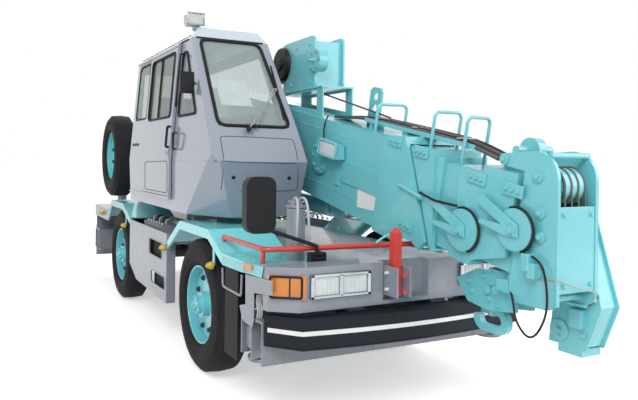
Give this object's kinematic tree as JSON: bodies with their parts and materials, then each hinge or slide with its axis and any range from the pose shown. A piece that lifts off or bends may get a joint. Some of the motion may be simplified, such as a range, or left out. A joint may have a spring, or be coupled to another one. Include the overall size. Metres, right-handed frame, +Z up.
{
  "type": "rough terrain crane",
  "caption": "Compact two-axle rough terrain crane with a side operator cab, a telescopic boom stowed over the front, crossed outriggers, all-wheel steering and a spare wheel.",
  "frame": {"origin": "under the middle of the whole machine, on the ground", "axes": "the front faces -Y, the vehicle's left is +X, +Z is up"},
  "size_m": [2.0453, 6.8, 2.8859],
  "materials": {
    "grey_paint": "gloss enamel",
    "teal_paint": "gloss enamel",
    "lamp_glass": "clear",
    "bumper_paint": "satin",
    "amber": "gloss",
    "red_paint": "gloss",
    "black_plastic": "satin",
    "rubber": "matte",
    "iron": "dark",
    "tyre": "matte",
    "chrome": "polished",
    "cab_paint": "gloss enamel",
    "roof_paint": "gloss enamel",
    "glass": "clear",
    "interior": "matte"
  },
  "bodies": {
    "carrier": {"chassis_frame": "grey_paint", "outrigger_sleeves": "grey_paint", "deck_plates": "grey_paint", "front_fenders": "teal_paint", "rear_fenders": "teal_paint", "side_panels": "grey_paint", "front_panel": "grey_paint", "headlamps": "lamp_glass", "front_bumper": "bumper_paint", "marker_lamps": "amber", "front_rail": "red_paint", "front_mirror": "black_plastic", "mud_flaps": "rubber", "rear_panel": "grey_paint", "axles": "grey_paint", "engine_block": "iron", "jack_barrels": "grey_paint"},
    "knuckle_front_left_body": {"knuckle_front_left": "iron"},
    "wheel_front_left": {"tyre_front_left": "tyre", "rim_front_left": "teal_paint"},
    "arm_front_left": {"outrigger_arm_front_left": "grey_paint"},
    "beam_front_left": {"outrigger_beam_front_left": "grey_paint"},
    "rod_front_left": {"jack_rod_front_left": "chrome"},
    "knuckle_front_right_body": {"knuckle_front_right": "iron"},
    "wheel_front_right": {"tyre_front_right": "tyre", "rim_front_right": "teal_paint"},
    "arm_front_right": {"outrigger_arm_front_right": "grey_paint"},
    "beam_front_right": {"outrigger_beam_front_right": "grey_paint"},
    "rod_front_right": {"jack_rod_front_right": "chrome"},
    "knuckle_rear_left_body": {"knuckle_rear_left": "iron"},
    "wheel_rear_left": {"tyre_rear_left": "tyre", "rim_rear_left": "teal_paint"},
    "arm_rear_left": {"outrigger_arm_rear_left": "grey_paint"},
    "beam_rear_left": {"outrigger_beam_rear_left": "grey_paint"},
    "rod_rear_left": {"jack_rod_rear_left": "chrome"},
    "knuckle_rear_right_body": {"knuckle_rear_right": "iron"},
    "wheel_rear_right": {"tyre_rear_right": "tyre", "rim_rear_right": "teal_paint"},
    "arm_rear_right": {"outrigger_arm_rear_right": "grey_paint"},
    "beam_rear_right": {"outrigger_beam_rear_right": "grey_paint"},
    "rod_rear_right": {"jack_rod_rear_right": "chrome"},
    "superstructure": {"slew_frame": "grey_paint", "counterweight": "grey_paint", "cab_tub": "cab_paint", "cab_upper": "cab_paint", "cab_roof": "roof_paint", "cab_glass": "glass", "cab_interior": "interior", "spare_wheel": "tyre"},
    "door": {"cab_door": "cab_paint", "door_glass": "glass"},
    "boom": {"boom_base": "teal_paint", "hoist_winch": "teal_paint"},
    "boom_section_2_body": {"boom_section_2": "teal_paint"},
    "boom_section_3_body": {"boom_section_3": "teal_paint"},
    "boom_head_body": {"boom_head": "teal_paint", "hook_block": "teal_paint", "jib": "teal_paint"},
    "luff_barrel_body": {"luff_barrel": "teal_paint"},
    "luff_rod_body": {"luff_rod": "chrome"}
  },
  "joints": [
    {"name": "steer_front_left", "type": "hinge", "parent": "carrier", "child": "knuckle_front_left_body", "pos_m": [0.655, -1.005, 0.506], "axis": [0, 0, 1], "range_deg": [-28, 28]},
    {"name": "roll_front_left", "type": "hinge", "parent": "knuckle_front_left_body", "child": "wheel_front_left", "pos_m": [0.845, -1.005, 0.506], "axis": [1, 0, 0], "continuous": true},
    {"name": "swing_front_left", "type": "hinge", "parent": "carrier", "child": "arm_front_left", "pos_m": [-0.7, -2.147, 0.51], "axis": [0, 1, 0], "range_deg": [0, 8]},
    {"name": "extend_front_left", "type": "slide", "parent": "arm_front_left", "child": "beam_front_left", "axis": [1, 0, 0], "range_m": [0, 0.95]},
    {"name": "push_front_left", "type": "slide", "parent": "carrier", "child": "rod_front_left", "axis": [0, 0, -1], "range_m": [0, 0.1878]},
    {"name": "steer_front_right", "type": "hinge", "parent": "carrier", "child": "knuckle_front_right_body", "pos_m": [-0.655, -1.005, 0.506], "axis": [0, 0, 1], "range_deg": [-28, 28]},
    {"name": "roll_front_right", "type": "hinge", "parent": "knuckle_front_right_body", "child": "wheel_front_right", "pos_m": [-0.845, -1.005, 0.506], "axis": [1, 0, 0], "continuous": true},
    {"name": "swing_front_right", "type": "hinge", "parent": "carrier", "child": "arm_front_right", "pos_m": [0.7, -1.993, 0.51], "axis": [0, -1, 0], "range_deg": [0, 8]},
    {"name": "extend_front_right", "type": "slide", "parent": "arm_front_right", "child": "beam_front_right", "axis": [-1, 0, 0], "range_m": [0, 0.95]},
    {"name": "push_front_right", "type": "slide", "parent": "carrier", "child": "rod_front_right", "axis": [0, 0, -1], "range_m": [0, 0.1878]},
    {"name": "steer_rear_left", "type": "hinge", "parent": "carrier", "child": "knuckle_rear_left_body", "pos_m": [0.655, 1.745, 0.506], "axis": [0, 0, 1], "range_deg": [-28, 28]},
    {"name": "roll_rear_left", "type": "hinge", "parent": "knuckle_rear_left_body", "child": "wheel_rear_left", "pos_m": [0.845, 1.745, 0.506], "axis": [1, 0, 0], "continuous": true},
    {"name": "swing_rear_left", "type": "hinge", "parent": "carrier", "child": "arm_rear_left", "pos_m": [-0.7, 3.013, 0.51], "axis": [0, 1, 0], "range_deg": [0, 8]},
    {"name": "extend_rear_left", "type": "slide", "parent": "arm_rear_left", "child": "beam_rear_left", "axis": [1, 0, 0], "range_m": [0, 0.95]},
    {"name": "push_rear_left", "type": "slide", "parent": "carrier", "child": "rod_rear_left", "axis": [0, 0, -1], "range_m": [0, 0.1878]},
    {"name": "steer_rear_right", "type": "hinge", "parent": "carrier", "child": "knuckle_rear_right_body", "pos_m": [-0.655, 1.745, 0.506], "axis": [0, 0, 1], "range_deg": [-28, 28]},
    {"name": "roll_rear_right", "type": "hinge", "parent": "knuckle_rear_right_body", "child": "wheel_rear_right", "pos_m": [-0.845, 1.745, 0.506], "axis": [1, 0, 0], "continuous": true},
    {"name": "swing_rear_right", "type": "hinge", "parent": "carrier", "child": "arm_rear_right", "pos_m": [0.7, 3.167, 0.51], "axis": [0, -1, 0], "range_deg": [0, 8]},
    {"name": "extend_rear_right", "type": "slide", "parent": "arm_rear_right", "child": "beam_rear_right", "axis": [-1, 0, 0], "range_m": [0, 0.95]},
    {"name": "push_rear_right", "type": "slide", "parent": "carrier", "child": "rod_rear_right", "axis": [0, 0, -1], "range_m": [0, 0.1878]},
    {"name": "slew", "type": "hinge", "parent": "carrier", "child": "superstructure", "pos_m": [0, 0.82, 1.02], "axis": [0, 0, 1], "continuous": true},
    {"name": "door_slide", "type": "slide", "parent": "superstructure", "child": "door", "axis": [0, 1, 0], "range_m": [0, 0.55]},
    {"name": "luff", "type": "hinge", "parent": "superstructure", "child": "boom", "pos_m": [0.25, 1.82, 2.2], "axis": [-1, 0, 0], "range_deg": [0, 90]},
    {"name": "telescope_1", "type": "slide", "parent": "boom", "child": "boom_section_2_body", "axis": [0, -0.9816, -0.1908], "range_m": [0, 3.2]},
    {"name": "telescope_2", "type": "slide", "parent": "boom_section_2_body", "child": "boom_section_3_body", "axis": [0, -0.9816, -0.1908], "range_m": [0, 3.2]},
    {"name": "telescope_3", "type": "slide", "parent": "boom_section_3_body", "child": "boom_head_body", "axis": [0, -0.9816, -0.1908], "range_m": [0, 3.2]},
    {"name": "luff_barrel_turn", "type": "hinge", "parent": "superstructure", "child": "luff_barrel_body", "pos_m": [0.25, 1.07, 1.31], "axis": [-1, 0, 0], "range_deg": [0, 89.12]},
    {"name": "luff_rod_slide", "type": "slide", "parent": "luff_barrel_body", "child": "luff_rod_body", "axis": [0, -0.9988, -0.0486], "range_m": [0, 1.64533]}
  ],
  "couplings": [
    {"joint": "push_front_left", "follows": "swing_front_left", "m_per_rad": 1.345},
    {"joint": "push_front_right", "follows": "swing_front_right", "m_per_rad": 1.345},
    {"joint": "push_rear_left", "follows": "swing_rear_left", "m_per_rad": 1.345},
    {"joint": "push_rear_right", "follows": "swing_rear_right", "m_per_rad": 1.345},
    {"joint": "steer_front_right", "follows": "steer_front_left", "ratio": 1},
    {"joint": "steer_rear_right", "follows": "steer_rear_left", "ratio": 1},
    {"joint": "telescope_2", "follows": "telescope_1", "ratio": 1},
    {"joint": "telescope_3", "follows": "telescope_1", "ratio": 1},
    {"joint": "luff_barrel_turn", "follows": "luff", "ratio": 0.99021},
    {"joint": "luff_rod_slide", "follows": "luff", "m_per_rad": 1.0474}
  ]
}
